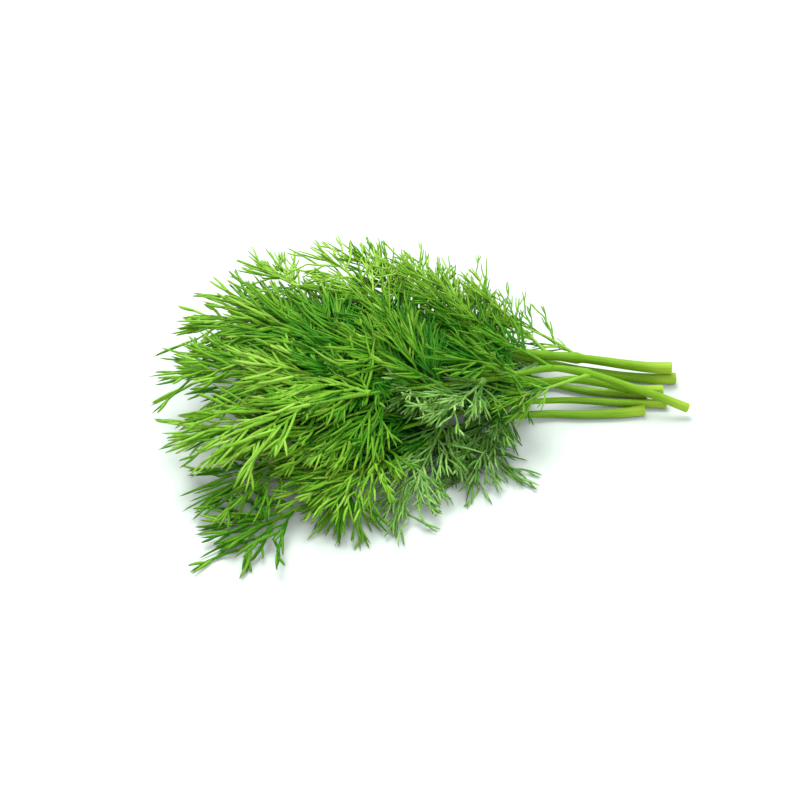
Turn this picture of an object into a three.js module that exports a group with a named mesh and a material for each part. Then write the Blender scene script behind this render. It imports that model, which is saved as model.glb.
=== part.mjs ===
// A cut bunch of dill, lying on a level surface: seven sprigs, each a stem with seven or eight fronds.
// Millimetres, +Z up. +X points towards the cut ends of the stems, and the origin is on the
// surface, under the middle of the bunch. The sprigs are listed in the order in which they lie,
// the lowest first.
import * as THREE from 'three';

const { lerp, degToRad } = THREE.MathUtils;

// Driving dimensions

const GAP = 0.35; // air kept between any two pieces
const MIDDLE = new THREE.Vector3(0.4, 3.9, 0); // middle of the bunch, in the layout below

const STEM = {
  tipRadius: 0.5, // where the stem runs out into its last frond
  taper: 1.7, // above 1, a stem loses most of its width near the cut end
  flare: 1.04, // how much wider the cut end is
  flareShare: 0.05, // share of the stem that the wider end takes
  sides: 8,
  steps: 16,
};

const MIDRIB = {
  thickness: 1.2, // of the whole frond
  baseWidth: 1.8,
  tipWidth: 0.9,
  lead: 0.3, // share of a frond's reach in which it still leans along its stem
  steps: 6, // straight pieces that its clearance is measured on
};

const BRANCH = {
  baseWidth: 1.4,
  tipWidth: 0.7,
  lengthShare: 0.36, // length of the lowest branch, as a share of its frond's length
  tipShrink: 0.6, // how much shorter the last branch is
  shortest: 4,
  spread: degToRad(38), // angle between a branch and its midrib
  first: 0.16, // where the first and the last branch leave the midrib
  last: 0.84,
  count: 9,
};

// A branch that would meet another piece is shortened, and in the end left out.
const BRANCH_CUTS = [1, 0.75, 0.5, 0.3];

// A frond that would meet another piece is laid a little higher.
const LIFT_STEP = 0.5;
const LIFT_LIMIT = 4;

// Each route runs from the cut end to the last frond. Each frond is given by the share of the
// route at which it leaves the stem, and by the place of its tip.
const SPRIGS = [
  {
    radius: 2.0,
    route: [
      [86, 8.4, 2.1], [77, 6.9, 2.1], [69, 6.2, 2.1], [60, 6, 2.1], [50, 6.2, 2.3], [31, 2, 4],
      [11, -10, 7], [-7, -27, 9], [-25, -40, 8], [-43, -49, 5],
    ],
    fronds: [
      [0.45, 40, -33, 0.7], [0.5, 7, -36, 0.7], [0.56, -33, -22, 12], [0.68, -11, -61, 0.7],
      [0.76, -62, -38, 9], [0.86, -33, -62, 0.7], [1, -79, -73, 0.7],
    ],
  },
  {
    radius: 1.7,
    route: [
      [95, 12.5, 2], [77, 12.8, 2.2], [58, 12.2, 4], [38, 6, 8], [15, -3, 11], [-7, -16, 14],
      [-29, -26, 14], [-48, -30, 11],
    ],
    fronds: [
      [0.42, 16, -41, 3], [0.46, 0, 4, 18], [0.58, -7, -51, 5], [0.62, -37, -12, 20],
      [0.75, -46, -60, 8], [0.8, -79, -22, 16], [1, -86, -53, 2],
    ],
  },
  {
    radius: 1.9,
    route: [
      [88, 18, 2.1], [80, 18.4, 2.1], [70, 19.2, 2.1], [61, 21.2, 2.1], [53, 23.5, 2.4],
      [39, 28.5, 4], [24, 36, 7], [8, 46, 11], [-7, 61, 18],
    ],
    fronds: [
      [0.34, 22, 17, 5], [0.43, 16, 58, 12], [0.57, -7, 44, 6], [0.61, -3, 71, 19],
      [0.75, -42, 68, 0.9], [0.84, -20, 77, 27], [1, -31, 80, 31],
    ],
  },
  {
    radius: 2.2,
    route: [
      [100, 27.5, 2.4], [92, 27.2, 2.4], [80.5, 28.3, 2.6], [71, 28.7, 4], [61, 28.8, 6],
      [47, 30, 9], [31, 30.5, 12], [12, 31, 16], [-9, 34, 19], [-32, 36, 22], [-54, 40, 22],
    ],
    fronds: [
      [0.34, 24, 9, 12], [0.45, 6, 56, 14], [0.58, -23, 21, 12], [0.6, -37, 64, 20],
      [0.76, -71, 24, 0.8], [0.8, -83, 48, 24], [1, -102, 42, 13],
    ],
  },
  {
    radius: 2.3,
    route: [
      [98, 27.5, 7.5], [90, 28, 7.4], [80.5, 29.5, 7.6], [70.5, 30.3, 8.8], [61, 29.4, 11],
      [45, 28, 14], [30, 29, 17], [12, 33, 20], [-7, 40, 23], [-29, 48, 26], [-46, 54, 27],
    ],
    fronds: [
      [0.24, 30, 44, 22], [0.32, 17, 54, 33], [0.44, 2, 60, 32], [0.5, -11, 69, 35],
      [0.62, -22, 30, 27], [0.76, -47, 74, 35], [1, -64, 74, 27],
    ],
  },
  {
    radius: 2.1,
    route: [
      [93.5, 15.6, 6.2], [86, 15.6, 6.2], [80, 16.6, 6.5], [70, 18.4, 7.6], [60, 18, 9.5],
      [46, 14.5, 11.5], [23, 13, 16], [0, 12, 21], [-26, 10, 25], [-50, 7, 25],
    ],
    fronds: [
      [0.36, 28, -12, 11], [0.42, 6, 40, 26], [0.5, 1, -10, 18], [0.58, -13, -17, 24],
      [0.6, -28, 39, 33], [0.76, -57, -16, 24], [0.8, -75, 41, 28], [1, -102, 16, 14],
    ],
  },
  {
    radius: 1.8,
    route: [
      [102.5, 7.6, 4], [91.5, 9.4, 8], [79.5, 11.7, 11.5], [68, 14.1, 14.5], [59.5, 15.3, 16],
      [50, 15, 17.5], [30, 6, 20], [8, -2, 23], [-16, -11, 27], [-40, -19, 28],
    ],
    fronds: [
      [0.26, 28, -12, 22], [0.36, 20, 22, 30], [0.46, 4, 0, 34], [0.55, 0, -27, 26],
      [0.66, -35, 15, 36], [0.8, -65, -32, 20], [0.85, -72, 8, 32], [1, -99, -30, 12],
    ],
  },
];

const stemMaterial = new THREE.MeshStandardMaterial({ color: '#86ae40', roughness: 0.45 });
const frondMaterial = new THREE.MeshStandardMaterial({ color: '#66933e', roughness: 0.6 });

const UP = new THREE.Vector3(0, 0, 1);

// Moves every point of a geometry to the place that a function gives for it.
function reshape(geometry, place) {
  const position = geometry.attributes.position;
  const point = new THREE.Vector3();
  for (let i = 0; i < position.count; i++) {
    const moved = place(point.fromBufferAttribute(position, i));
    position.setXYZ(i, moved.x, moved.y, moved.z);
  }
  geometry.computeVertexNormals();
  return geometry;
}

function piece(name, geometry, material) {
  const mesh = new THREE.Mesh(geometry, material.clone());
  mesh.name = name;
  return mesh;
}

// Room: a piece is measured as a chain of straight links, each within a radius of its line.

function chain(curve, radii) {
  const steps = radii.length - 1;
  return radii.slice(1).map((radius, i) => ({
    line: new THREE.Line3(curve.getPointAt(i / steps), curve.getPointAt((i + 1) / steps)),
    radius: Math.max(radius, radii[i]),
  }));
}

function isClear(links, others) {
  return links.every((link) => others.every((other) => {
    const reach = link.radius + other.radius + GAP;
    return link.line.distanceSqToLine3(other.line) > reach * reach;
  }));
}

// Stems

function stemRadiusAt(sprig, share) {
  const flare = share < STEM.flareShare ? STEM.flare : 1;
  return lerp(STEM.tipRadius, sprig.radius, (1 - share) ** STEM.taper) * flare;
}

// A lathed round bar, bent along its route.
function growStem(sprig) {
  const curve = new THREE.CatmullRomCurve3(sprig.route.map((point) => new THREE.Vector3(...point)));
  const radii = [];
  for (let step = 0; step <= STEM.steps; step++) radii.push(stemRadiusAt(sprig, step / STEM.steps));
  const side = radii.map((radius, step) => new THREE.Vector2(radius, step));
  const profile = [new THREE.Vector2(0, 0), ...side, new THREE.Vector2(0, STEM.steps)];
  const frames = curve.computeFrenetFrames(STEM.steps);
  const geometry = reshape(new THREE.LatheGeometry(profile, STEM.sides), (point) => {
    const step = Math.round(point.y);
    return curve.getPointAt(step / STEM.steps)
      .addScaledVector(frames.binormals[step], point.x)
      .addScaledVector(frames.normals[step], point.z);
  });
  return { curve, geometry, links: chain(curve, radii) };
}

// Fronds: each one is drawn flat, with x along its midrib and y across it, and then bent.

function midribHalfWidth(share) {
  return lerp(MIDRIB.baseWidth, MIDRIB.tipWidth, share) / 2;
}

// The line of a frond's midrib: off the stem's side, along the stem for a while, then to the tip.
function midribCurve(sprig, stem, at, tip, lift) {
  const along = stem.curve.getTangentAt(at);
  const start = stem.curve.getPointAt(at);
  const reach = tip.clone().sub(start);
  const aside = reach.clone().addScaledVector(along, -reach.dot(along)).normalize();
  const leave = at < 1 ? aside : along;
  const offset = at < 1 ? stemRadiusAt(sprig, at) + midribHalfWidth(0) + GAP * 2 : GAP;
  start.addScaledVector(leave, offset);
  const lead = along.clone().add(leave).normalize();
  const bend = start.clone().addScaledVector(lead, reach.length() * MIDRIB.lead);
  bend.z += lift;
  const end = tip.clone().addScaledVector(UP, lift);
  return new THREE.QuadraticBezierCurve3(start, bend, end);
}

// The first height at which a midrib is clear of the other pieces.
function layMidrib(sprig, stem, at, tip, others) {
  const radii = [];
  for (let step = 0; step <= MIDRIB.steps; step++) {
    radii.push(Math.hypot(midribHalfWidth(step / MIDRIB.steps), MIDRIB.thickness / 2));
  }
  for (let lift = 0; lift <= LIFT_LIMIT; lift += LIFT_STEP) {
    const curve = midribCurve(sprig, stem, at, tip, lift);
    const links = chain(curve, radii);
    if (isClear(links, others)) return { curve, links };
  }
  throw new Error(`no room for a frond with its tip at ${tip.toArray()}`);
}

// A place on the flat drawing of a frond, brought to the frond's midrib.
function bent(curve, flat) {
  const share = THREE.MathUtils.clamp(flat.x / curve.getLength(), 0, 1);
  const along = curve.getTangentAt(share);
  const across = UP.clone().cross(along).normalize();
  const above = along.clone().cross(across);
  return curve.getPointAt(share).addScaledVector(across, flat.y).addScaledVector(above, flat.z);
}

// A branch's two ends on the flat drawing.
function branchLine(curve, index, cut) {
  const share = index / (BRANCH.count - 1);
  const at = lerp(BRANCH.first, BRANCH.last, share);
  const side = index % 2 ? 1 : -1;
  const whole = curve.getLength() * BRANCH.lengthShare * (1 - BRANCH.tipShrink * share);
  const length = Math.max(whole * cut, BRANCH.shortest);
  const start = new THREE.Vector3(at * curve.getLength(), side * midribHalfWidth(at), 0);
  const step = new THREE.Vector3(Math.cos(BRANCH.spread), side * Math.sin(BRANCH.spread), 0);
  return new THREE.Line3(start, start.clone().addScaledVector(step, length));
}

function layBranch(curve, index, others) {
  for (const cut of BRANCH_CUTS) {
    const flat = branchLine(curve, index, cut);
    const line = new THREE.Line3(bent(curve, flat.start), bent(curve, flat.end));
    const radius = Math.hypot(BRANCH.baseWidth, MIDRIB.thickness) / 2;
    if (isClear([{ line, radius }], others)) return { flat, links: [{ line, radius }] };
  }
  return null;
}

// The four corners of a branch, in order of their distance from the frond's base.
function branchCorners({ start, end }) {
  const tip = end.clone().sub(start).normalize();
  const square = new THREE.Vector3(-tip.y, tip.x, 0).multiplyScalar(BRANCH.tipWidth / 2);
  if (square.x > 0) square.negate();
  const half = new THREE.Vector3(BRANCH.baseWidth / 2 / Math.sin(BRANCH.spread), 0, 0);
  return [
    start.clone().sub(half), end.clone().add(square), end.clone().sub(square), start.clone().add(half),
  ];
}

function frondGeometry(curve, branches) {
  const length = curve.getLength();
  const left = branches.filter((branch) => branch.flat.start.y > 0);
  const right = branches.filter((branch) => branch.flat.start.y < 0);
  const outline = [
    new THREE.Vector2(0, -midribHalfWidth(0)),
    ...right.flatMap((branch) => branchCorners(branch.flat)),
    new THREE.Vector2(length, -midribHalfWidth(1)),
    new THREE.Vector2(length, midribHalfWidth(1)),
    ...left.reverse().flatMap((branch) => branchCorners(branch.flat).reverse()),
    new THREE.Vector2(0, midribHalfWidth(0)),
  ];
  const drawn = new THREE.ExtrudeGeometry(new THREE.Shape(outline), {
    depth: MIDRIB.thickness,
    bevelEnabled: false,
  });
  drawn.translate(0, 0, -MIDRIB.thickness / 2);
  return reshape(drawn, (point) => bent(curve, point));
}

// The bunch: all stems first, then every midrib, and last the branches in what room is left.

const dillBunch = new THREE.Group();
dillBunch.position.copy(MIDDLE).negate();

const laid = new Map();
const linksExcept = (name) => [...laid].filter(([key]) => key !== name).flatMap(([, links]) => links);

const stems = SPRIGS.map(growStem);
stems.forEach((stem, i) => {
  const name = `stem_${i + 1}`;
  laid.set(name, stem.links);
  dillBunch.add(piece(name, stem.geometry, stemMaterial));
});

const midribs = new Map();
SPRIGS.forEach((sprig, i) => {
  sprig.fronds.forEach(([at, ...tip], j) => {
    const others = linksExcept(at < 1 ? null : `stem_${i + 1}`);
    const midrib = layMidrib(sprig, stems[i], at, new THREE.Vector3(...tip), others);
    midribs.set(`frond_${i + 1}_${j + 1}`, midrib.curve);
    laid.set(`frond_${i + 1}_${j + 1}`, midrib.links);
  });
});

for (const [name, curve] of midribs) {
  const others = linksExcept(name);
  const branches = [];
  for (let index = 0; index < BRANCH.count; index++) {
    const branch = layBranch(curve, index, others);
    if (branch) branches.push(branch);
  }
  laid.get(name).push(...branches.flatMap((branch) => branch.links));
  dillBunch.add(piece(name, frondGeometry(curve, branches), frondMaterial));
}

export default dillBunch;
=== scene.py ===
"""A cut bunch of dill on a pale studio floor.

Every stem and frond of the CAD frame is replaced by a detailed piece in the same place. A frond is
a midrib with side shoots, called pinnae, which carry thread-like leaf segments, many of them
forked. All strands share one material, which reads a strand's tone across u and the place along
it up v of a map.
"""
import math

import bpy
import numpy as np
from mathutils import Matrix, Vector


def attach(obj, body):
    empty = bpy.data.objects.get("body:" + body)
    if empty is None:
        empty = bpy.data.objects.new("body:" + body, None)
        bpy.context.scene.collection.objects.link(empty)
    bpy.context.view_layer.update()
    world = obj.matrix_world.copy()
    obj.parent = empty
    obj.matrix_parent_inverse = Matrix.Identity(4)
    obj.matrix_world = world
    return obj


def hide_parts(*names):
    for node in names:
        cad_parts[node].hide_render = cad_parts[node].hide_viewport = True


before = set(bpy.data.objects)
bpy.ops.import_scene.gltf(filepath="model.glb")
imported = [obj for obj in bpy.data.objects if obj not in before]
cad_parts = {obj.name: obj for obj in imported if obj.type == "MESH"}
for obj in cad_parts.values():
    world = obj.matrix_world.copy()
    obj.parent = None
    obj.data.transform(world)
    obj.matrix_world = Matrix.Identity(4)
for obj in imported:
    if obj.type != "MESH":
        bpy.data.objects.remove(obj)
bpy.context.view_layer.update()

MM = 0.001
UP = np.array([0.0, 0.0, 1.0])
RADIANS = math.pi / 180
TINY = 1e-12

# ---------------------------------------------------------------------------------------------
# Layout, in millimetres, as in the CAD part: routes from the cut end to the last frond, and for
# each frond the share of the route at which it leaves the stem and the place of its tip.

MIDDLE = np.array([0.4, 3.9, 0.0])  # of the bunch, in the layout's own places
STEM_TIP_RADIUS = 0.5
STEM_TAPER = 1.7
LEAD = 0.3  # share of a frond's reach in which it still leans along its stem

SPRIGS = [
    {
        "radius": 2.0,
        "route": [
            (86, 8.4, 2.1), (77, 6.9, 2.1), (69, 6.2, 2.1), (60, 6, 2.1), (50, 6.2, 2.3),
            (31, 2, 4), (11, -10, 7), (-7, -27, 9), (-25, -40, 8), (-43, -49, 5),
        ],
        "fronds": [
            (0.45, 40, -33, 0.7), (0.5, 7, -36, 0.7), (0.56, -33, -22, 12), (0.68, -11, -61, 0.7),
            (0.76, -62, -38, 9), (0.86, -33, -62, 0.7), (1, -79, -73, 0.7),
        ],
    },
    {
        "radius": 1.7,
        "route": [
            (95, 12.5, 2), (77, 12.8, 2.2), (58, 12.2, 4), (38, 6, 8), (15, -3, 11), (-7, -16, 14),
            (-29, -26, 14), (-48, -30, 11),
        ],
        "fronds": [
            (0.42, 16, -41, 3), (0.46, 0, 4, 18), (0.58, -7, -51, 5), (0.62, -37, -12, 20),
            (0.75, -46, -60, 8), (0.8, -79, -22, 16), (1, -86, -53, 2),
        ],
    },
    {
        "radius": 1.9,
        "route": [
            (88, 18, 2.1), (80, 18.4, 2.1), (70, 19.2, 2.1), (61, 21.2, 2.1), (53, 23.5, 2.4),
            (39, 28.5, 4), (24, 36, 7), (8, 46, 11), (-7, 61, 18),
        ],
        "fronds": [
            (0.34, 22, 17, 5), (0.43, 16, 58, 12), (0.57, -7, 44, 6), (0.61, -3, 71, 19),
            (0.75, -42, 68, 0.9), (0.84, -20, 77, 27), (1, -31, 80, 31),
        ],
    },
    {
        "radius": 2.2,
        "route": [
            (100, 27.5, 2.4), (92, 27.2, 2.4), (80.5, 28.3, 2.6), (71, 28.7, 4), (61, 28.8, 6),
            (47, 30, 9), (31, 30.5, 12), (12, 31, 16), (-9, 34, 19), (-32, 36, 22), (-54, 40, 22),
        ],
        "fronds": [
            (0.34, 24, 9, 12), (0.45, 6, 56, 14), (0.58, -23, 21, 12), (0.6, -37, 64, 20),
            (0.76, -71, 24, 0.8), (0.8, -83, 48, 24), (1, -102, 42, 13),
        ],
    },
    {
        "radius": 2.3,
        "route": [
            (98, 27.5, 7.5), (90, 28, 7.4), (80.5, 29.5, 7.6), (70.5, 30.3, 8.8), (61, 29.4, 11),
            (45, 28, 14), (30, 29, 17), (12, 33, 20), (-7, 40, 23), (-29, 48, 26), (-46, 54, 27),
        ],
        "fronds": [
            (0.24, 30, 44, 22), (0.32, 17, 54, 33), (0.44, 2, 60, 32), (0.5, -11, 69, 35),
            (0.62, -22, 30, 27), (0.76, -47, 74, 35), (1, -64, 74, 27),
        ],
    },
    {
        "radius": 2.1,
        "route": [
            (93.5, 15.6, 6.2), (86, 15.6, 6.2), (80, 16.6, 6.5), (70, 18.4, 7.6), (60, 18, 9.5),
            (46, 14.5, 11.5), (23, 13, 16), (0, 12, 21), (-26, 10, 25), (-50, 7, 25),
        ],
        "fronds": [
            (0.36, 28, -12, 11), (0.42, 6, 40, 26), (0.5, 1, -10, 18), (0.58, -13, -17, 24),
            (0.6, -28, 39, 33), (0.76, -57, -16, 24), (0.8, -75, 41, 28), (1, -102, 16, 14),
        ],
    },
    {
        "radius": 1.8,
        "route": [
            (102.5, 7.6, 4), (91.5, 9.4, 8), (79.5, 11.7, 11.5), (68, 14.1, 14.5),
            (59.5, 15.3, 16), (50, 15, 17.5), (30, 6, 20), (8, -2, 23), (-16, -11, 27),
            (-40, -19, 28),
        ],
        "fronds": [
            (0.26, 28, -12, 22), (0.36, 20, 22, 30), (0.46, 4, 0, 34), (0.55, 0, -27, 26),
            (0.66, -35, 15, 36), (0.8, -65, -32, 20), (0.85, -72, 8, 32), (1, -99, -30, 12),
        ],
    },
]

# ---------------------------------------------------------------------------------------------
# Tones of the leaves

# Each sprig's tone from 0, deep green, to 1, lime. Tones stay below 1, to fall on the map.
TONES = [0.58, 0.56, 0.74, 0.74, 0.84, 0.68, 0.70]
HIGHEST_TONE = 0.999
FROND_TONE_NOISE = 0.06
STRAND_TONE_NOISE = 0.12
MIDRIB_TONE_NOISE = 0.03
MIDRIB_TONE = 0.2  # how much paler than the threads
PINNA_TONE = 0.1

# Painted shade: leaves in the middle of the bunch are darker, and the lower the darker, as if
# shaded by those above.
SHADED_AT = np.array([-14.0, 12.0])
SHADED_REACH = np.array([56.0, 36.0])
SHADED_HEIGHT = 34.0  # from which upwards only the least share of the shade is left
SHADED_TONE = 1.25
SHADED_LEAST = 0.2
SHADED_CURVE = 0.6

# The strand map holds its tones in strips from deep to light: the clear green ones, then fewer
# paler, greyish ones that paint a sheen. Fronds with this painted sheen lie near the stems, and
# most at the front.
CLEAR_STRIPS = 32
PAINTED_SHEEN_STRIPS = 16
STRIPS = CLEAR_STRIPS + PAINTED_SHEEN_STRIPS
STRIP_EDGE = 0.03  # share of a strip that is kept free at each side
PAINTED_SHEEN_FROM = -30
PAINTED_SHEEN_SHARE = [(-40, 0, 40), (0.95, 0.35, 0.0)]  # places along Y, and the share there
PAINTED_SHEEN_TONE = 0.24  # how much paler than the others

# ---------------------------------------------------------------------------------------------
# Sizes of the leaves, in millimetres and degrees

# By sprig: the scale of its threads, and the leafless share of its midribs next to the bare stem
THREAD_SCALES = [1.0, 1.0, 0.8, 0.95, 0.8, 1.0, 1.0]
PETIOLES = [0.3, 0.2, 0.2, 0.3, 0.25, 0.2, 0.6]
PETIOLES_UP_TO = 0.4  # share of the stem's route
SHORT_PETIOLE = 0.01

# By place in the bunch: a pair holds the value next to the bare stems, and the value at the far
# end. Spreads are angles to the parent, and rolls are turns out of the frond's plane.
LEAF_SPAN = (60.0, -90.0)
TONE_GAIN = (0.02, 0.08)  # what is added to a sprig's tone
OVERHANG = (0.5, 1.0)  # of a thread's length, by which the leaf reaches past its midrib
PINNA_LENGTH = (3.2, 17.0)  # to which PINNA_SHARE of the midrib's length is added
PINNA_GAP = (3.6, 4.6)
PINNA_SPREAD = (42, 43)
PINNA_ROLL = (32, 16)
THREAD_LENGTH = (10.5, 21.0)
THREAD_RADIUS = (0.34, 0.60)
THREAD_GAP = (2.6, 3.0)
THREAD_SPREAD = (27, 34)
THREAD_ROLL = (22, 9)
FORK_SPREAD = (27, 24)
FLOOR_GAP = 0.62  # lowest height of a strand's middle
BUNCH_HEIGHT = 40.0  # and its greatest height
INNER_CROWDING = 0.6  # share by which gaps are smaller in the middle of the bunch

# Fronds with their tips on the floor are flatter, more open and deeper green than the others.
LOW_TIP = 3.0
LOW_FLATNESS = 0.4
LOW_OPENNESS = 1.12
LOW_TONE = -0.12

# By chance: the ranges of a strand's own share of its size, the highest bow, as a share of the
# spread that a strand loses towards its tip, and noise
PINNA_SIZES = (0.75, 1.25)
PINNA_WIDTHS = (0.85, 1.1)
PINNA_BOW = 0.5
PINNA_JITTER = 0.012  # share of the midrib
PINNA_SPREAD_NOISE = 7
THREAD_SIZES = (0.7, 1.35)
THREAD_WIDTHS = (0.85, 1.12)
THREAD_BOW = 1.3
THREAD_JITTER = 0.05  # share of the pinna
THREAD_SPREAD_NOISE = 8
THREAD_ROLL_NOISE = 0.5  # share of the roll
FORK_SIZES = (0.75, 1.05)
FORK_BOW = 1.0
FORK_SPREAD_NOISE = 3.5
FORK_ROLL_NOISE = 0.4  # in radians

# Along a strand: rings, as shares of its length, and its width there
MIDRIB_RADII = (0.75, 0.45)  # at its base and its tip
MIDRIB_END = 0.96  # where its last ring sits
MIDRIB_RINGS = 24
MIDRIB_SIDES = 7
SHEATH = 1.1  # how much wider the midrib's base is, where it wraps the stem
SHEATH_SHARE = 0.07  # share of the midrib that the wrap takes
PINNA_RADIUS = 0.5
PINNA_RINGS = [0, 0.25, 0.5, 0.75, 0.93]
PINNA_PROFILE = [1, 0.95, 0.88, 0.78, 0.6]
THREAD_RINGS = [0, 0.3, 0.6, 0.87]
THREAD_PROFILE = [0.8, 1, 0.9, 0.6]
FINE_SIDES = 5

# Pinnae along the midrib
PINNA_SHARE = 0.3
PINNA_FIRST = 0.5  # the lowest pinna's length as a share of a full one
PINNA_GROWTH = 2.0  # how fast they lengthen from there along the midrib
PINNA_TAPER = 0.5  # share by which they are shorter at the tip
PINNA_CLOSING = 12  # how much less they spread at the tip
PINNA_CROWDING = 1.1  # above 1, they are closer together at the midrib's base
LAST_PINNA = 0.93
FEWEST_PINNAE = 6

# Threads along a pinna
FIRST_THREAD = 0.14  # share of the pinna at which they start
THREADED_SHARE = 0.8  # and the share that carries them
THREAD_CROWDING = 0.7  # share of the gap at the midrib's base, which doubles towards its tip
THREAD_TAPER = (1.1, 0.35)  # size at the pinna's base, and how much less it is at the tip
FEWEST_THREADS = 3

# The threads that close a midrib's tip
LAST_THREADS = 5
LAST_THREADS_FROM = 0.86
LAST_THREADS_TURN = 2.4  # from one to the next, in radians
LAST_THREAD_SIZES = (0.7, 1.0)
LAST_THREAD_SPREADS = (26, 4)  # of the first and the last one
LAST_THREAD_BOW = 0.2

# Forks: the share of the threads that have one, the stretch of the thread where it leaves, and
# its turn round the thread. The second one leaves on the other side.
FORKS = [(0.85, (0.25, 0.5), math.pi), (0.35, (0.5, 0.7), 0.0)]


# ---------------------------------------------------------------------------------------------
# Curves

ROUTE_STEPS = 24  # between two points of a route
LENGTH_STEPS = 20


def unit(vectors):
    return vectors / np.maximum(np.linalg.norm(vectors, axis=-1, keepdims=True), TINY)


def smooth_route(points, count):
    """Even points along the centripetal curve through a route."""
    points = np.array(points, float)
    points = np.vstack([2 * points[0] - points[1], points, 2 * points[-1] - points[-2]])
    share = np.linspace(0, 1, ROUTE_STEPS, endpoint=False)[:, None]
    dense = []
    for a, b, c, d in zip(points, points[1:], points[2:], points[3:]):
        before, here, after = (math.sqrt(math.dist(*ends)) for ends in ((a, b), (b, c), (c, d)))
        leave = ((b - a) / before - (c - a) / (before + here) + (c - b) / here) * here
        arrive = ((c - b) / here - (d - b) / (here + after) + (d - c) / after) * here
        dense.append(
            b + leave * share + (3 * (c - b) - 2 * leave - arrive) * share**2
            + (2 * (b - c) + leave + arrive) * share**3
        )
    dense = np.vstack(dense + [points[-2]])
    run = np.r_[0, np.cumsum(np.linalg.norm(np.diff(dense, axis=0), axis=1))]
    even = np.linspace(0, run[-1], count)
    return np.stack([np.interp(even, run, axis) for axis in dense.T], 1)


def bezier(curves, share):
    """Places and directions at a share of quadratic curves, given by three control points."""
    first, middle, last = curves[:, 0], curves[:, 1], curves[:, 2]
    share = share[:, None]
    place = (1 - share) ** 2 * first + 2 * share * (1 - share) * middle + share**2 * last
    return place, unit((1 - share) * (middle - first) + share * (last - middle))


def curve_length(curve):
    places = bezier(np.repeat(curve, LENGTH_STEPS, 0), np.linspace(0, 1, LENGTH_STEPS))[0]
    return np.linalg.norm(np.diff(places, axis=0), axis=1).sum()


def shortened(curve, share):
    """The first part of a quadratic curve."""
    first, middle, last = curve[0]
    bend = first + (middle - first) * share
    return np.array([[first, bend, bend + (middle + (last - middle) * share - bend) * share]])


def side_shoots(parents, index, at, length, spread, roll, bow):
    """Curves that leave their parents at a spread angle, rolled round them, and bow forwards."""
    place, heading = bezier(parents[index], at)
    across = unit(np.cross(heading, UP))
    above = np.cross(across, heading)
    outward = np.cos(roll)[:, None] * across + np.sin(roll)[:, None] * above

    def direction(angle):
        return np.cos(angle)[:, None] * heading + np.sin(angle)[:, None] * outward

    half = length[:, None] / 2
    middle = place + direction(spread) * half
    tip = middle + direction(spread * (1 - bow)) * half
    curves = np.stack([place, middle, tip], 1)
    curves[:, :, 2] = np.clip(curves[:, :, 2], FLOOR_GAP, BUNCH_HEIGHT)
    return curves


# ---------------------------------------------------------------------------------------------
# Meshes

ASKEW = [0.31, 0.52, 0.79]  # a direction that strands don't run along
BASE_MIDDLE = (0.5, 0.03)  # of the disc in the map for a strand's base
BASE_RADII = (0.4, 0.02)


def mesh_object(name, vertices, faces, corner_uv):
    """An object from numpy arrays. faces is a list of (n, k) arrays of vertex numbers."""
    mesh = bpy.data.meshes.new(name)
    sizes = np.concatenate([np.full(len(part), part.shape[1]) for part in faces])
    corners = np.concatenate([part.ravel() for part in faces])
    mesh.vertices.add(len(vertices))
    mesh.vertices.foreach_set("co", (vertices * MM).astype(np.float32).ravel())
    mesh.loops.add(len(corners))
    mesh.loops.foreach_set("vertex_index", corners.astype(np.int32))
    mesh.polygons.add(len(sizes))
    mesh.polygons.foreach_set("loop_start", np.r_[0, np.cumsum(sizes)[:-1]].astype(np.int32))
    mesh.polygons.foreach_set("loop_total", sizes.astype(np.int32))
    layer = mesh.uv_layers.new(name="OFBake")
    layer.uv.foreach_set("vector", corner_uv.astype(np.float32).ravel())
    mesh.update(calc_edges=True)
    mesh.validate()
    mesh.shade_smooth()
    piece = bpy.data.objects.new(name, mesh)
    bpy.context.collection.objects.link(piece)
    return piece


def tube_walls(shares, sides):
    """The quads of a tube with a ring at each share of its length, and their corners' u and v."""
    step, side = np.indices((len(shares) - 1, sides)).reshape(2, -1)
    here, there, after = step * sides, (step + 1) * sides, (side + 1) % sides
    faces = np.stack([here + side, here + after, there + after, there + side], 1)
    u = np.stack([side, side + 1, side + 1, side], 1) / sides
    v = np.stack([shares[step], shares[step], shares[step + 1], shares[step + 1]], 1)
    return faces, u, v


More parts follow.
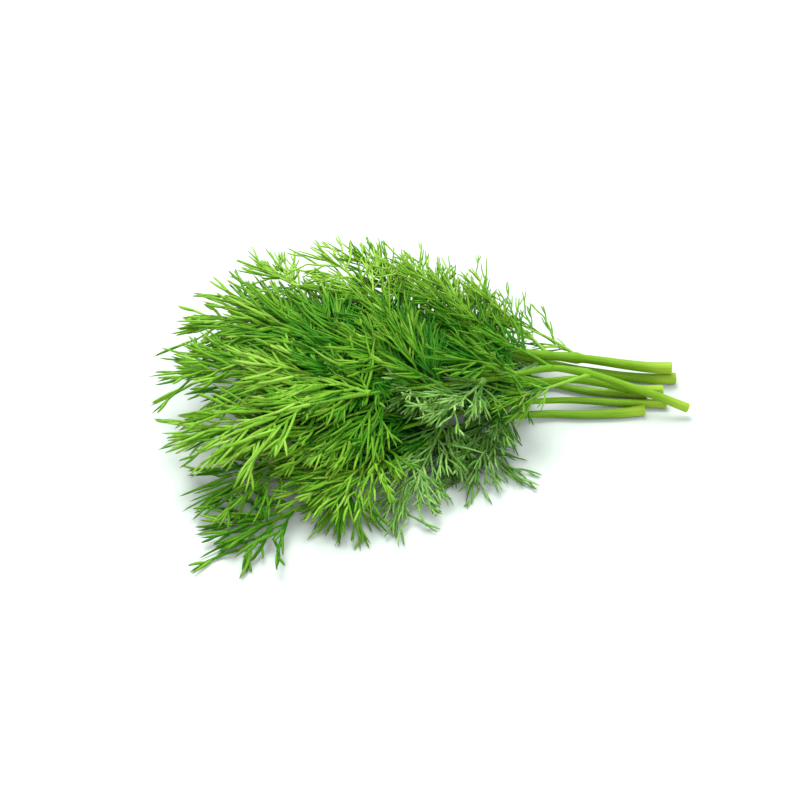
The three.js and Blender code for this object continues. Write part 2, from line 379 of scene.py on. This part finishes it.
def strands(curves, radii, shares, profile, sides, strips):
    """Closed round strands that end in a point: vertices, faces and the uv of each corner."""
    count, rings = len(curves), len(shares)
    shares = np.array(shares)
    places, headings = zip(*(bezier(curves, np.full(count, share)) for share in shares))
    places, headings = np.stack(places, 1), np.stack(headings, 1)
    steady = unit(np.cross(headings[:, :1], ASKEW))
    across = unit(steady - (steady * headings).sum(-1, keepdims=True) * headings)
    above = np.cross(headings, across)
    angle = np.arange(sides) * 2 * math.pi / sides
    ring = across[:, :, None] * np.cos(angle)[:, None] + above[:, :, None] * np.sin(angle)[:, None]
    width = radii[:, None] * np.array(profile)[None]
    rim = places[:, :, None] + ring * width[:, :, None, None]
    tip = bezier(curves, np.ones(count))[0]
    vertices = np.concatenate([rim.reshape(count, -1, 3), tip[:, None]], 1).reshape(-1, 3)

    walls, wall_u, wall_v = tube_walls(shares, sides)
    turn = np.arange(sides)
    last = (rings - 1) * sides
    point = rings * sides
    points = np.stack([last + turn, last + (turn + 1) % sides, np.full(sides, point)], 1)
    base = turn[::-1][None]
    start = (np.arange(count) * (point + 1))[:, None, None]
    faces = [(start + part[None]).reshape(-1, part.shape[1]) for part in (walls, points, base)]

    point_u = np.stack([turn, turn + 1, turn + 0.5], 1) / sides
    point_v = np.tile([shares[-1], shares[-1], 1.0], (sides, 1))
    base_u = (BASE_MIDDLE[0] + BASE_RADII[0] * np.cos(angle[::-1]))[None]
    base_v = (BASE_MIDDLE[1] + BASE_RADII[1] * np.sin(angle[::-1]))[None]
    uv = []
    for u, v in ((wall_u, wall_v), (point_u, point_v), (base_u, base_v)):
        wide = (strips[:, None, None] + np.clip(u, STRIP_EDGE, 1 - STRIP_EDGE)[None]) / STRIPS
        uv.append(np.stack([wide, np.broadcast_to(v[None], wide.shape)], -1).reshape(-1, 2))
    return vertices, faces, np.concatenate(uv)


def joined(parts):
    """One mesh's arrays from the arrays of several."""
    faces, offset = [], 0
    for vertices, kinds, _ in parts:
        faces += [kind + offset for kind in kinds]
        offset += len(vertices)
    all_vertices = np.concatenate([part[0] for part in parts])
    all_uv = np.concatenate([part[2] for part in parts])
    return all_vertices, faces, all_uv


# ---------------------------------------------------------------------------------------------
# Materials

WHITE = (1.0, 1.0, 1.0)
GRAIN_ROUGHNESS = 0.25  # how much rougher the grain's highest tone is than its lowest
MIX_SHARE, MIX_FIRST, MIX_SECOND, MIX_RESULT = 0, 6, 7, 2  # colour sockets of a Mix node


class Nodes:
    """A short way to build a node material."""

    def __init__(self, name):
        self.material = bpy.data.materials.new(name)
        self.material.use_nodes = True
        self.tree = self.material.node_tree
        self.shader = self.tree.nodes["Principled BSDF"]

    def put(self, socket, value):
        if isinstance(value, bpy.types.NodeSocket):
            self.tree.links.new(value, socket)
        else:
            socket.default_value = value

    def add(self, kind, inputs, **settings):
        """A node with values or links for its inputs, which are given by name or number."""
        node = self.tree.nodes.new("ShaderNode" + kind)
        for key, value in settings.items():
            setattr(node, key, value)
        for key, value in inputs.items():
            self.put(node.inputs[key], value)
        return node

    def shade(self, inputs):
        """Values or links for the surface shader's inputs."""
        for key, value in inputs.items():
            self.put(self.shader.inputs[key], value)

    def math(self, operation, *values):
        return self.add("Math", dict(enumerate(values)), operation=operation).outputs[0]

    def ramp(self, value, stops):
        node = self.add("ValToRGB", {"Fac": value})
        elements = node.color_ramp.elements
        while len(elements) < len(stops):
            elements.new(0.5)
        for element, (place, colour) in zip(elements, stops):
            element.position = place
            element.color = (*colour, 1)
        return node.outputs[0]

    def product(self, first, *others):
        for other in others:
            inputs = {MIX_SHARE: 1.0, MIX_FIRST: first, MIX_SECOND: other}
            mix = self.add("Mix", inputs, data_type="RGBA", blend_type="MULTIPLY")
            first = mix.outputs[MIX_RESULT]
        return first

    def noise(self, place, scale, detail):
        return self.add("TexNoise", {"Vector": place, "Scale": scale, "Detail": detail}).outputs[0]

    def grain(self, across, along, stretch, detail):
        """Noise on the map, stretched by one amount across and another one along."""
        place = self.add("CombineXYZ", {
            "X": self.math("MULTIPLY", across, stretch[0]),
            "Y": self.math("MULTIPLY", along, stretch[1]),
        })
        return self.noise(place.outputs[0], scale=1.0, detail=detail)

    def map_place(self):
        """The place on the map across the strands or round the stem, and along them."""
        place = self.add("UVMap", {}, uv_map="OFBake").outputs[0]
        return self.add("SeparateXYZ", {"Vector": place}).outputs[:2]

    def rough(self, grain, least, strength, depth):
        """Roughness and bump from a grain."""
        bump = self.add("Bump", {"Height": grain, "Strength": strength, "Distance": depth})
        self.shade({
            "Roughness": self.math("MULTIPLY_ADD", grain, GRAIN_ROUGHNESS, least),
            "Normal": bump.outputs[0],
        })


def frond_material():
    nodes = Nodes("dill_leaf")
    across, along = nodes.map_place()
    clear = CLEAR_STRIPS / STRIPS
    edge = 0.002  # half of the step from the clear strips to the waxy ones
    tone = nodes.ramp(across, [
        (0.0, (0.001, 0.048, 0.001)),
        (clear * 0.35, (0.021, 0.126, 0.003)),
        (clear * 0.70, (0.102, 0.250, 0.013)),
        (clear - edge, (0.212, 0.390, 0.052)),
        # The paler, greyish strips of the painted sheen
        (clear + edge, (0.003, 0.048, 0.002)),
        (0.88, (0.090, 0.228, 0.036)),
        (1.0, (0.225, 0.405, 0.120)),
    ])
    age = nodes.ramp(along, [
        (0.0, (1.10, 1.10, 1.05)),
        (0.30, WHITE),
        (0.75, (0.97, 0.95, 0.95)),
        (1.0, (0.92, 0.60, 0.85)),
    ])
    speck = nodes.grain(across, along, stretch=(90.0, 7.0), detail=3.0)
    speck_shade = nodes.ramp(speck, [(0.3, (0.86, 0.86, 0.84)), (0.7, (1.12, 1.12, 1.10))])
    rib = nodes.grain(across, along, stretch=(STRIPS * 5.0, 2.0), detail=2.0)
    nodes.rough(rib, least=0.42, strength=0.35, depth=0.0002)
    nodes.shade({
        "Base Color": nodes.product(tone, age, speck_shade),
        "Specular IOR Level": 0.07,
        "Subsurface Weight": 0.25,
        "Subsurface Radius": (0.5, 1.0, 0.15),
        "Subsurface Scale": 0.0012,
    })
    return nodes.material


def stem_material():
    nodes = Nodes("dill_stem")
    around, along = nodes.map_place()
    tone = nodes.ramp(along, [
        (0.0, (0.30, 0.42, 0.07)),
        (0.085, (0.205, 0.320, 0.018)),
        (0.15, (0.118, 0.240, 0.002)),
        (0.30, (0.098, 0.225, 0.001)),
        (0.9, (0.065, 0.180, 0.003)),
    ])
    line = nodes.grain(around, along, stretch=(46.0, 5.0), detail=4.0)
    line_shade = nodes.ramp(line, [
        (0.30, (0.72, 0.80, 0.60)),
        (0.52, WHITE),
        (0.72, (1.35, 1.22, 1.5)),
    ])
    cloud = nodes.grain(around, along, stretch=(3.0, 14.0), detail=2.0)
    cloud_shade = nodes.ramp(cloud, [(0.3, (0.85, 0.9, 0.8)), (0.7, (1.12, 1.08, 1.1))])
    nodes.rough(line, least=0.30, strength=0.4, depth=0.0003)
    nodes.shade({
        "Base Color": nodes.product(tone, line_shade, cloud_shade),
        "Specular IOR Level": 0.16,
        "Subsurface Weight": 0.5,
        "Subsurface Radius": (0.6, 1.0, 0.15),
        "Subsurface Scale": 0.002,
    })
    return nodes.material


# ---------------------------------------------------------------------------------------------
# Stems. Depths and widths are shares of the stem's radius, and lengths shares of its route.

STEM_SIDES = 32
STEM_RINGS = 180
CUT_FLARE = 0.04
CUT_FLARE_LENGTH = 0.03
NODE_SWELLING = 0.3  # where a frond leaves the stem
FIRST_NODE_SWELLING = 0.55
NODE_RISE = 0.004
NODE_FADE = 0.05
RIBS = 11
RIB_DEPTH = 0.03
STEM_TWIST = 0.6  # in radians, over the whole route
STEM_TURNS = (0, 6)  # turns of its ribs to choose from, in radians
STEM_SEED = 100
STEM_FLATNESS = 0.03
GROOVE_DEPTH = 0.10
GROOVE_WIDTH = 0.35  # in radians

# Rings of the cut face: their width and how deep they lie. The rim stands out a little, and the
# pith sinks.
CUT_FACE = [(0.93, -0.12), (0.8, -0.05), (0.55, 0.10), (0.25, 0.2)]

# Places up the map: the cut face's inmost ring and its edge, and the two ends of the walls.
PITH_V = 0.005
CUT_FACE_V = 0.075
WALLS_V = (0.08, 0.98)


def stem_radius(sprig, share):
    """The stem's radius at shares of its route, with a sheath where each frond leaves it."""
    radius = STEM_TIP_RADIUS + (sprig["radius"] - STEM_TIP_RADIUS) * (1 - share) ** STEM_TAPER
    radius = radius * (1 + CUT_FLARE * np.exp(-((share / CUT_FLARE_LENGTH) ** 2)))
    swelling = FIRST_NODE_SWELLING
    for at, *_ in sprig["fronds"]:
        risen = 1 / (1 + np.exp((at - share) / NODE_RISE))
        wrapped = risen * np.exp(-np.maximum(share - at, 0) / NODE_FADE)
        radius = radius * (1 + swelling * wrapped)
        swelling = NODE_SWELLING
    return radius


def stem_rim(centre, heading, radius, share, turned):
    """The stem's rings, with ribs and a groove along the upper side that deepens to the tip."""
    across = unit(np.cross(heading, UP))
    above = np.cross(across, heading)
    angle = -math.pi / 2 + np.arange(STEM_SIDES) * 2 * math.pi / STEM_SIDES
    twist = STEM_TWIST * share + turned
    ribs = 1 + RIB_DEPTH * np.cos(RIBS * angle[None] + twist[:, None])
    flat = 1 - STEM_FLATNESS * np.sin(angle)[None] ** 2
    valley = np.exp(-(((angle[None] - math.pi / 2) / GROOVE_WIDTH) ** 2))
    groove = 1 - GROOVE_DEPTH * valley * share[:, None]
    reach = radius[:, None] * ribs * flat * groove
    aside = np.cos(angle)[None, :, None] * across[:, None]
    upward = np.sin(angle)[None, :, None] * above[:, None]
    return centre[:, None] + reach[..., None] * (aside + upward)


def stem_piece(number, sprig, material):
    centre = smooth_route(sprig["route"], STEM_RINGS) - MIDDLE
    heading = unit(np.gradient(centre, axis=0))
    share = np.linspace(0, 1, STEM_RINGS)
    radius = stem_radius(sprig, share)
    turned = np.random.default_rng(STEM_SEED + number).uniform(*STEM_TURNS)
    rim = stem_rim(centre, heading, radius, share, turned)
    vertices, faces, uv = [rim.reshape(-1, 3)], [], []

    def add_faces(corners, u, v):
        faces.append(np.stack(corners, 1))
        uv.append(np.stack([np.stack(u, 1) / STEM_SIDES, np.tile(v, (STEM_SIDES, 1))], -1))

    walls, wall_u, wall_v = tube_walls(share, STEM_SIDES)
    wall_v = WALLS_V[0] + (WALLS_V[1] - WALLS_V[0]) * wall_v
    faces.append(walls)
    uv.append(np.stack([wall_u, wall_v], -1))

    # The cut face, ring by ring, to the middle of its pith
    turn = np.arange(STEM_SIDES)
    first = STEM_RINGS * STEM_SIDES
    previous, outer_v = turn, CUT_FACE_V
    for ring, (width, sink) in enumerate(CUT_FACE):
        vertices.append(centre[0] + (rim[0] - centre[0]) * width + heading[0] * sink * radius[0])
        current = first + ring * STEM_SIDES + turn
        inner_v = CUT_FACE_V + (PITH_V - CUT_FACE_V) * (ring + 1) / len(CUT_FACE)
        add_faces(
            [previous, current, np.roll(current, -1), np.roll(previous, -1)],
            [turn, turn, turn + 1, turn + 1], [outer_v, inner_v, inner_v, outer_v],
        )
        previous, outer_v = current, inner_v
    middle = first + len(CUT_FACE) * STEM_SIDES
    vertices.append((centre[0] + heading[0] * CUT_FACE[-1][1] * radius[0])[None])
    add_faces(
        [previous, np.full(STEM_SIDES, middle), np.roll(previous, -1)],
        [turn, turn + 0.5, turn + 1], [PITH_V, 0.0, PITH_V],
    )

    # The far end closes in a blunt point inside the last frond.
    vertices.append((centre[-1] + heading[-1] * STEM_TIP_RADIUS)[None])
    last = (STEM_RINGS - 1) * STEM_SIDES + turn
    add_faces(
        [last, np.roll(last, -1), np.full(STEM_SIDES, middle + 1)],
        [turn, turn + 1, turn + 0.5], [WALLS_V[1], WALLS_V[1], 1.0],
    )
    corner_uv = np.concatenate([part.reshape(-1, 2) for part in uv])
    piece = mesh_object(f"dill_stem_{number}", np.concatenate(vertices), faces, corner_uv)
    piece.data.materials.append(material)
    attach(piece, "root")
    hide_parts(f"stem_{number}")


# ---------------------------------------------------------------------------------------------
# Fronds

FROND_SEED = 1000


def midrib_curve(centre, at, tip):
    """The midrib's curve, from the stem's middle to the tip, as the CAD part draws it."""
    place = at * (len(centre) - 1)
    low = min(int(place), len(centre) - 2)
    start = centre[low] + (centre[low + 1] - centre[low]) * (place - low)
    along = unit(centre[low + 1] - centre[low])
    reach = tip - start
    aside = unit(reach - along * (reach @ along))
    lead = unit(along + (aside if at < 1 else along))
    bend = start + lead * np.linalg.norm(reach) * LEAD
    return np.array([[start, bend, tip]])


def innerness(curves):
    """How close curves are to the middle of the leaves, from 0 to 1."""
    away = (curves[:, 1, :2] - SHADED_AT) / SHADED_REACH
    return np.exp(-(away**2).sum(1))


def strips_of(curves, tone, painted_sheen, rng, noise=STRAND_TONE_NOISE):
    """Each strand's strip of the map. Deep inside the bunch the strands are darker, a painted
    shade.
    """
    depth = 1 - np.clip(curves[:, 1, 2] / SHADED_HEIGHT, 0, 1)
    deepening = SHADED_LEAST + (1 - SHADED_LEAST) * depth**SHADED_CURVE
    shade = SHADED_TONE * innerness(curves) * deepening
    own = np.clip(tone - shade + rng.normal(0, noise, len(curves)), 0, HIGHEST_TONE)
    return (CLEAR_STRIPS + own * PAINTED_SHEEN_STRIPS if painted_sheen else own * CLEAR_STRIPS).astype(int)


def sides_of(rank):
    """The turn that puts each shoot on the other side of its parent than the one before it."""
    return rank % 2 * math.pi


class Frond:
    """One frond's strands, grown in order: the midrib, the pinnae, the threads and the forks."""

    def __init__(self, number, index, centre, frond):
        self.rng = rng = np.random.default_rng(FROND_SEED * number + index)
        self.at, *tip = frond
        self.tip = tip = np.array(tip, float) - MIDDLE
        self.thread_scale = THREAD_SCALES[number - 1]
        # Painted sheen: some fronds take the paler, greyish strips of the map.
        self.painted_sheen = tip[0] > PAINTED_SHEEN_FROM and rng.random() < np.interp(tip[1], *PAINTED_SHEEN_SHARE)
        self.tone = TONES[number - 1] + self.sized(TONE_GAIN) + PAINTED_SHEEN_TONE * self.painted_sheen
        self.tone += rng.normal(0, FROND_TONE_NOISE)
        self.bare = PETIOLES[number - 1] if self.at < PETIOLES_UP_TO else SHORT_PETIOLE
        self.flatness, self.openness = 1.0, 1.0
        if tip[2] < LOW_TIP:
            self.flatness, self.openness = LOW_FLATNESS, LOW_OPENNESS
            self.tone += LOW_TONE
        self.reach = self.sized(THREAD_LENGTH) * self.thread_scale
        midrib = midrib_curve(centre, self.at, tip)
        overhang = self.sized(OVERHANG) * self.reach / curve_length(midrib)
        self.midrib = shortened(midrib, 1 - overhang)
        self.gap_factor = self.openness * (1 - INNER_CROWDING * innerness(self.midrib)[0])
        self.grow_pinnae()
        self.grow_threads()
        self.close_tip()
        self.grow_forks()

    def sized(self, ends):
        """The value between a pair's ends that belongs to the frond's place in the bunch."""
        return np.interp(self.tip[0], LEAF_SPAN[::-1], ends[::-1])

    def grow_pinnae(self):
        """Pinnae leave the midrib on alternate sides, and turn a little out of its plane."""
        rng, bare = self.rng, self.bare
        length = curve_length(self.midrib)
        gap = self.sized(PINNA_GAP) * self.gap_factor
        count = max(round(length * (1 - bare) / gap), FEWEST_PINNAE)
        share = bare + (LAST_PINNA - bare) * np.linspace(0, 1, count) ** PINNA_CROWDING
        share += rng.uniform(-PINNA_JITTER, PINNA_JITTER, count)
        tilt = rng.normal(0, self.sized(PINNA_ROLL), count) * self.flatness * RADIANS
        full = self.sized(PINNA_LENGTH) + length * PINNA_SHARE * rng.uniform(*PINNA_SIZES, count)
        rising = np.minimum(PINNA_FIRST + PINNA_GROWTH * (share - bare), 1)
        self.pinna_share = share
        self.pinna_length = full * ((1 - PINNA_TAPER * share) * rising)
        spread = self.sized(PINNA_SPREAD) - PINNA_CLOSING * share
        self.pinnae = side_shoots(
            self.midrib, np.zeros(count, int), share, self.pinna_length,
            (spread + rng.normal(0, PINNA_SPREAD_NOISE, count)) * RADIANS,
            sides_of(np.arange(count)) + tilt, rng.uniform(0, PINNA_BOW, count),
        )

    def grow_threads(self):
        """Threads leave each pinna in a fan that is turned its own way."""
        rng, count = self.rng, len(self.pinnae)
        gap = self.sized(THREAD_GAP) * self.gap_factor * THREAD_CROWDING * (1 + self.pinna_share)
        each = np.maximum((self.pinna_length / gap).astype(int), FEWEST_THREADS)
        owner = np.repeat(np.arange(count), each)
        total = len(owner)
        rank = np.arange(total) - np.repeat(np.cumsum(each) - each, each)
        place = FIRST_THREAD + THREADED_SHARE * rank / (each[owner] - 1)
        place += rng.uniform(-THREAD_JITTER, THREAD_JITTER, total)
        tilt = rng.normal(0, 1, count)[owner] + rng.normal(0, THREAD_ROLL_NOISE, total)
        tilt = tilt * self.sized(THREAD_ROLL) * self.flatness * RADIANS
        self.roll = tilt + sides_of(rank)
        size = rng.uniform(*THREAD_SIZES, total) * (THREAD_TAPER[0] - THREAD_TAPER[1] * place)
        self.thread_length = self.reach * size
        spread = self.sized(THREAD_SPREAD) * self.openness
        self.threads = side_shoots(
            self.pinnae, owner, place, self.thread_length,
            (spread + rng.normal(0, THREAD_SPREAD_NOISE, total)) * RADIANS,
            self.roll, rng.uniform(0, THREAD_BOW, total),
        )

    def close_tip(self):
        """A few threads fan out round the midrib's tip."""
        turn = np.arange(LAST_THREADS) * LAST_THREADS_TURN
        length = self.reach * self.rng.uniform(*LAST_THREAD_SIZES, LAST_THREADS)
        ends = side_shoots(
            self.midrib, np.zeros(LAST_THREADS, int),
            np.linspace(LAST_THREADS_FROM, 1, LAST_THREADS), length,
            np.linspace(*LAST_THREAD_SPREADS, LAST_THREADS) * RADIANS, turn,
            np.full(LAST_THREADS, LAST_THREAD_BOW),
        )
        self.threads = np.concatenate([self.threads, ends])
        self.thread_length = np.concatenate([self.thread_length, length])
        self.roll = np.concatenate([self.roll, turn])

    def grow_forks(self):
        """Most threads fork, and some of them fork again on the other side."""
        rng, forks = self.rng, []
        for forked_share, stretch, turn in FORKS:
            forked = np.flatnonzero(rng.random(len(self.threads)) < forked_share)
            count = len(forked)
            at = rng.uniform(*stretch, count)
            left = self.thread_length[forked] * (1 - at)
            forks.append(side_shoots(
                self.threads, forked, at, left * rng.uniform(*FORK_SIZES, count),
                rng.normal(self.sized(FORK_SPREAD), FORK_SPREAD_NOISE, count) * RADIANS,
                self.roll[forked] + turn + rng.normal(0, FORK_ROLL_NOISE, count),
                rng.uniform(0, FORK_BOW, count),
            ))
        self.fine = np.concatenate([self.threads, *forks])

    def midrib_arrays(self):
        rings = np.linspace(0, MIDRIB_END, MIDRIB_RINGS)
        profile = np.linspace(1, MIDRIB_RADII[1] / MIDRIB_RADII[0], MIDRIB_RINGS)
        if self.at < 1:
            profile += SHEATH * np.exp(-((rings / SHEATH_SHARE) ** 2))
        strips = strips_of(
            self.midrib, self.tone + MIDRIB_TONE, self.painted_sheen, self.rng, MIDRIB_TONE_NOISE
        )
        return strands(
            self.midrib, np.array([MIDRIB_RADII[0]]), rings, profile, MIDRIB_SIDES, strips
        )

    def pinna_arrays(self):
        radii = PINNA_RADIUS * self.rng.uniform(*PINNA_WIDTHS, len(self.pinnae))
        strips = strips_of(self.pinnae, self.tone + PINNA_TONE, self.painted_sheen, self.rng)
        return strands(self.pinnae, radii, PINNA_RINGS, PINNA_PROFILE, FINE_SIDES, strips)

    def fine_arrays(self):
        radius = self.sized(THREAD_RADIUS) * self.thread_scale
        radii = radius * self.rng.uniform(*THREAD_WIDTHS, len(self.fine))
        strips = strips_of(self.fine, self.tone, self.painted_sheen, self.rng)
        return strands(self.fine, radii, THREAD_RINGS, THREAD_PROFILE, FINE_SIDES, strips)


def frond_piece(number, index, centre, frond, material):
    grown = Frond(number, index, centre, frond)
    arrays = joined([grown.midrib_arrays(), grown.pinna_arrays(), grown.fine_arrays()])
    piece = mesh_object(f"dill_frond_{number}_{index}", *arrays)
    piece.data.materials.append(material)
    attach(piece, "root")
    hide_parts(f"frond_{number}_{index}")


# ---------------------------------------------------------------------------------------------
# Studio, in metres

CAMERA_ELEVATION = 40 * RADIANS
CAMERA_DISTANCE = 0.76
CAMERA_LENS = 90
CAMERA_AIM = (Vector((-7.2, 7.1, 8.4)) - Vector(MIDDLE)) * MM

FLOOR_SIZE = 6.0
AIR_STRENGTH = 1.25
KEY_LIGHT = {"size": 0.9, "power": 26, "place": (-0.25, 0.55, 1.1)}
FILL_LIGHT = {"size": 1.2, "power": 9, "place": (0.3, -0.9, 0.8)}
LIGHTS_AIM = Vector((0, 0, 0.01))


def make_floor():
    """A pale floor. It is lighter far away than at the bunch, where its colour is darker, a
    painted shade, so that a soft shadow shows.
    """
    nodes = Nodes("studio_floor")
    place = nodes.add("TexCoord", {}).outputs["Object"]
    away = nodes.add("VectorMath", {"Vector": place}, operation="LENGTH").outputs["Value"]
    # Painted shade: the floor's colour is darker round the bunch, where its soft shadow falls.
    tone = nodes.ramp(away, [(0.15, (0.43, 0.485, 0.45)), (0.9, (0.92, 0.93, 0.93))])
    grain = nodes.noise(place, scale=60.0, detail=3.0)
    grain_shade = nodes.ramp(grain, [(0.3, (0.97, 0.97, 0.97)), (0.7, WHITE)])
    nodes.shade({
        "Base Color": nodes.product(tone, grain_shade),
        "Roughness": 0.6,
        "Specular IOR Level": 0.2,
    })
    bpy.ops.mesh.primitive_plane_add(size=FLOOR_SIZE, location=(0, 0, 0))
    floor = bpy.context.object
    floor.name = "studio_floor"
    floor.data.materials.append(nodes.material)


def make_light(name, size, power, place):
    data = bpy.data.lights.new(name, "AREA")
    data.shape = "DISK"
    data.size = size
    data.energy = power
    light = bpy.data.objects.new(name, data)
    light.location = place
    light.rotation_euler = (LIGHTS_AIM - Vector(place)).to_track_quat("-Z", "Y").to_euler()
    bpy.context.collection.objects.link(light)


def make_studio():
    make_floor()
    world = bpy.data.worlds.new("studio_air")
    world.use_nodes = True
    air = world.node_tree.nodes["Background"]
    air.inputs["Color"].default_value = (*WHITE, 1)
    air.inputs["Strength"].default_value = AIR_STRENGTH
    bpy.context.scene.world = world
    make_light("key", **KEY_LIGHT)
    make_light("fill", **FILL_LIGHT)
    bpy.context.scene.view_settings.view_transform = "Standard"


def make_camera():
    data = bpy.data.cameras.new("camera")
    data.lens = CAMERA_LENS
    camera = bpy.data.objects.new("camera", data)
    back = Vector((0, -math.cos(CAMERA_ELEVATION), math.sin(CAMERA_ELEVATION)))
    camera.location = CAMERA_AIM + back * CAMERA_DISTANCE
    camera.rotation_euler = (-back).to_track_quat("-Z", "Y").to_euler()
    bpy.context.collection.objects.link(camera)
    bpy.context.scene.camera = camera


# ---------------------------------------------------------------------------------------------
# Scene

FROND_ROUTE_STEPS = 400  # of the stem's middle line, from which fronds leave

make_camera()
leaf, skin = frond_material(), stem_material()
for number, sprig in enumerate(SPRIGS, 1):
    stem_piece(number, sprig, skin)
    centre_line = smooth_route(sprig["route"], FROND_ROUTE_STEPS) - MIDDLE
    for index, frond in enumerate(sprig["fronds"], 1):
        frond_piece(number, index, centre_line, frond, leaf)
make_studio()
